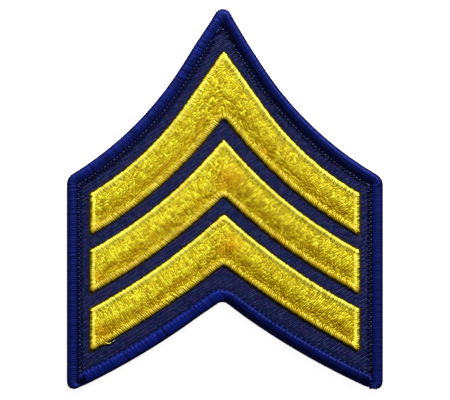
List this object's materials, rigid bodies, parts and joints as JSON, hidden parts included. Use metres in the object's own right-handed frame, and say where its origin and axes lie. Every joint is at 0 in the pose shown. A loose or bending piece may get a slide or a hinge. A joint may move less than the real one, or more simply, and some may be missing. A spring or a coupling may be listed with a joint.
{
  "type": "rank chevron patch",
  "caption": "Pointed twill sleeve patch, notched below, with stacked embroidered chevrons in raised satin rims and a thick overlocked border.",
  "frame": {"origin": "middle of the patch's width and height, at the underside of the border", "axes": "+Z out of the embroidered face, +Y towards the point, +X to the right seen from the front"},
  "size_m": [0.0762, 0.0916, 0.0025],
  "materials": {
    "navy_twill": "matt polyester-cotton twill, navy, fine diagonal ribs",
    "blue_border_thread": "royal blue polyester overlock thread, satin sheen",
    "gold_fill_thread": "golden yellow rayon embroidery thread in short fill stitches",
    "gold_satin_thread": "golden yellow rayon embroidery thread in glossy satin stitch"
  },
  "bodies": {
    "root": {"ground": "navy_twill", "merrow_border": "blue_border_thread", "upper_chevron_fill": "gold_fill_thread", "middle_chevron_fill": "gold_fill_thread", "lower_chevron_fill": "gold_fill_thread", "upper_chevron_rim": "gold_satin_thread", "middle_chevron_rim": "gold_satin_thread", "lower_chevron_rim": "gold_satin_thread"}
  },
  "joints": []
}
